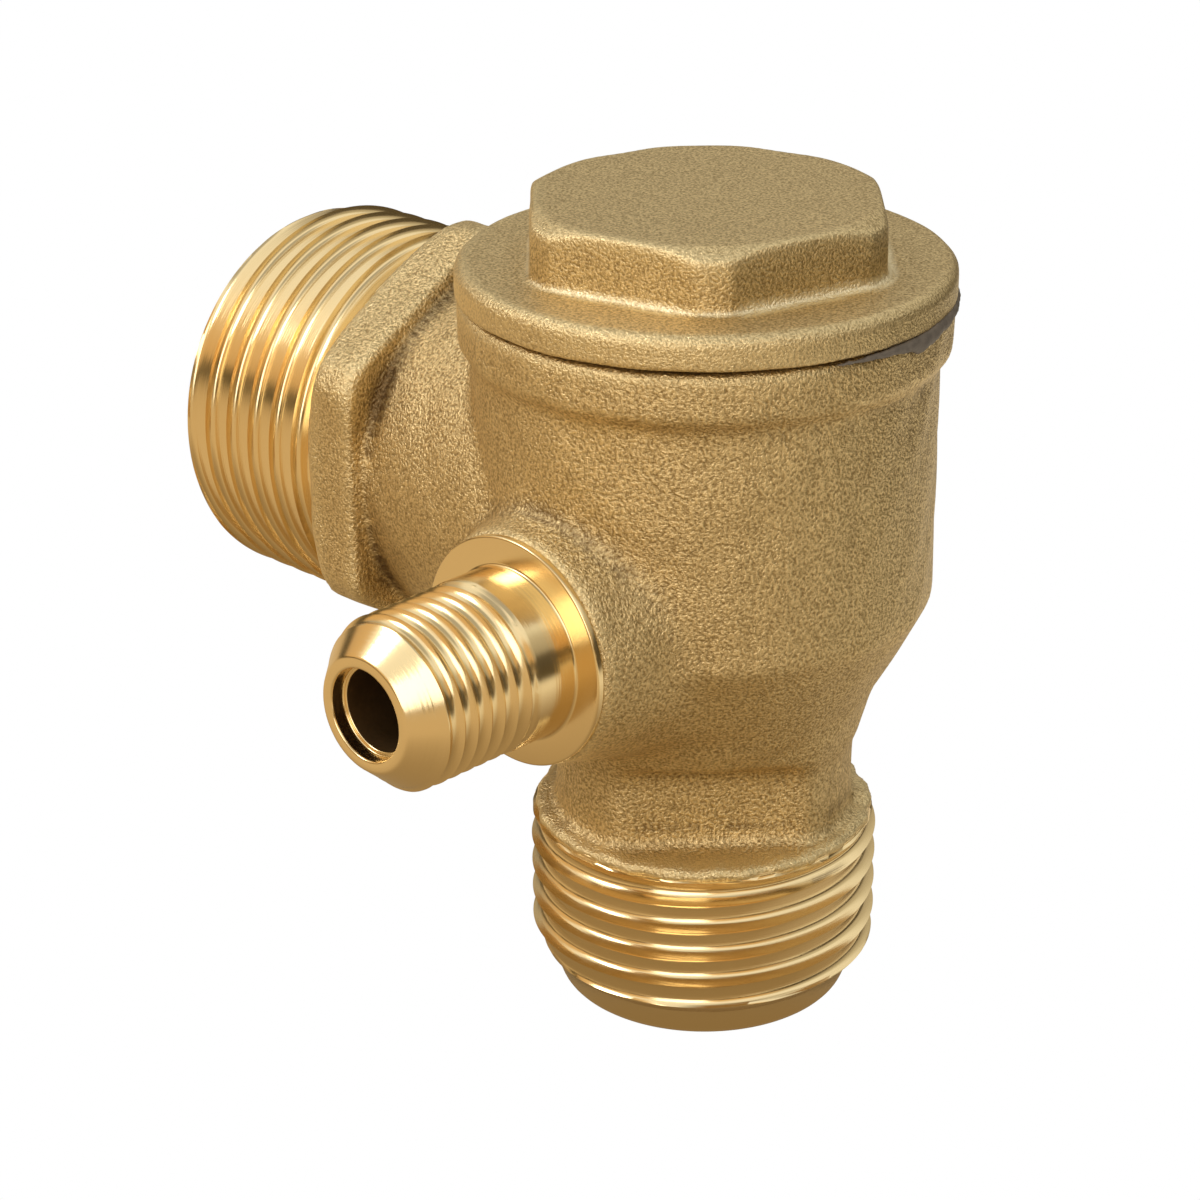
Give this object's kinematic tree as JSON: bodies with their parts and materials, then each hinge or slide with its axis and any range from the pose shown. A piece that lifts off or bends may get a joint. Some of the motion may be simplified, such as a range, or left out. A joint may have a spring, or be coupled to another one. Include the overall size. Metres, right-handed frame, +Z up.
{
  "type": "three-way non-return valve",
  "caption": "Cast brass non-return valve for an air compressor, with three male threaded ports, a hexagon screw cap and a spring-loaded disc valve inside.",
  "frame": {"origin": "centre of the inlet socket's mouth, on the inlet nose's end face", "axes": "+Z up the barrel from the inlet to the cap; the tank port points along -X and the unloader port along -Y"},
  "size_m": [0.0481, 0.0414, 0.0496],
  "materials": {
    "cast_brass": "sand-cast, tumbled brass with machined threads",
    "cap_brass": "hot-pressed, tumbled brass",
    "turned_brass": "turned brass",
    "sealant": "cured thread sealant",
    "seal_rubber": "moulded nitrile rubber",
    "screw_steel": "zinc-plated steel",
    "spring_steel": "stainless spring wire"
  },
  "bodies": {
    "housing": {"valve_body": "cast_brass", "hex_cap": "cap_brass", "thread_sealant": "sealant", "return_spring": "spring_steel"},
    "valve": {"valve_piston": "turned_brass", "seal_disc": "seal_rubber", "seal_washer": "turned_brass", "seal_screw": "screw_steel"}
  },
  "joints": [
    {"name": "piston_lift", "type": "slide", "parent": "housing", "child": "valve", "axis": [0, 0, 1], "range_m": [0, 0.0032], "stiffness_N_per_m": 300, "springref_m": -0.004, "deforming": ["return_spring"]}
  ]
}
